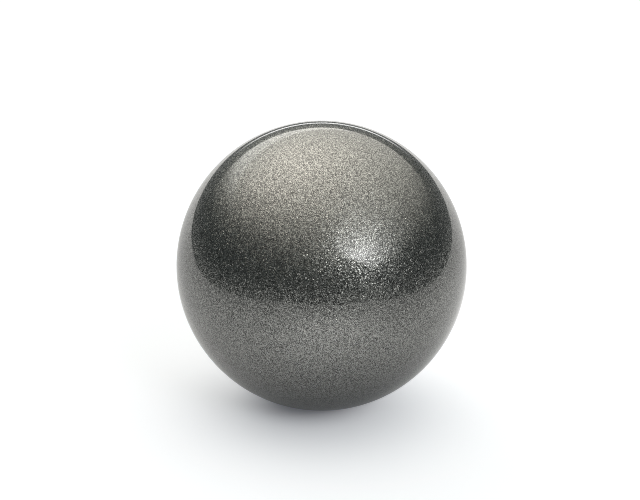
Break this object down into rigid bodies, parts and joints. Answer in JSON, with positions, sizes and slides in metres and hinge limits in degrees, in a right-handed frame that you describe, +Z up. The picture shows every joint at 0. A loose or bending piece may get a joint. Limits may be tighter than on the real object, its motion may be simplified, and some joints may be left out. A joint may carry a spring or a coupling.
{
  "type": "trackball ball",
  "caption": "Plain solid resin ball, dark grey with fine metallic flake under a clear polished surface, that turns in the cup of a pointing device.",
  "frame": {"origin": "centre of the ball", "axes": "+Z up, away from the surface or cup under the ball, and -Y towards the viewer; the ball is a full sphere, so X, Y and Z are alike"},
  "size_m": [0.025, 0.025, 0.025],
  "materials": {
    "flake_resin": "clear cast resin full of fine silver-grey metallic flake, ground and polished to a mirror gloss"
  },
  "bodies": {
    "root": {"ball": "flake_resin"}
  },
  "joints": []
}
